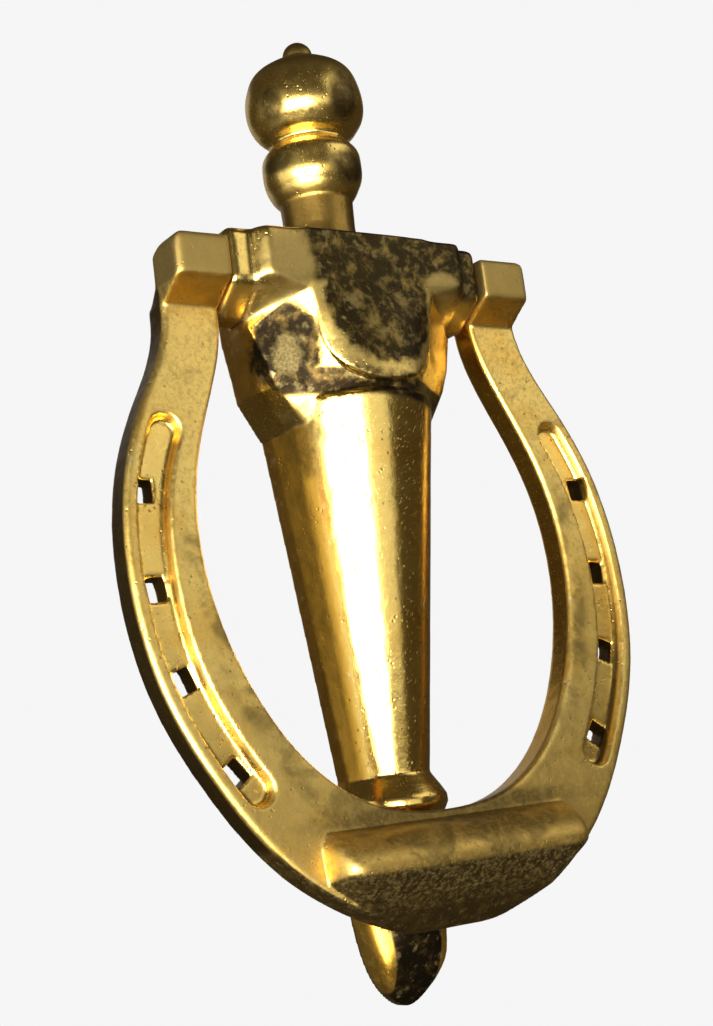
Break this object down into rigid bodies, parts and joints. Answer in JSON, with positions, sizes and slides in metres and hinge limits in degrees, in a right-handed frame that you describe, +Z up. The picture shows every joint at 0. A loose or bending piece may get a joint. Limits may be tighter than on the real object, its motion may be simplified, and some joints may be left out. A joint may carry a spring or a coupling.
{
  "type": "door knocker",
  "caption": "Polished brass horseshoe door knocker: a horseshoe striker with a thumb bar, hinged on a tapered urn-shaped back casting with a ball finial and rear fixing studs.",
  "frame": {"origin": "on the door's face, half way between the two fixing studs", "axes": "+Z up, +X to the right of someone facing the door, +Y into the door along the fixing studs"},
  "size_m": [0.1078, 0.0563, 0.1857],
  "materials": {
    "back_brass": "aged polished cast brass with dark mottled tarnish",
    "horseshoe_brass": "satin cast brass, worn bright on the edges",
    "button_brass": "turned brass, worn bright",
    "pin_steel": "drawn steel",
    "stud_steel": "zinc-plated threaded rod"
  },
  "bodies": {
    "back": {"back_casting": "back_brass", "hinge_pin_left": "pin_steel", "hinge_pin_right": "pin_steel", "anvil_button": "button_brass", "upper_fixing_stud": "stud_steel", "lower_fixing_stud": "stud_steel"},
    "striker": {"horseshoe": "horseshoe_brass", "striker_button": "button_brass"}
  },
  "joints": [
    {"name": "striker_hinge", "type": "hinge", "parent": "back", "child": "striker", "pos_m": [0, -0.014, 0.051], "axis": [-1, 0, 0], "range_deg": [0, 170]}
  ]
}
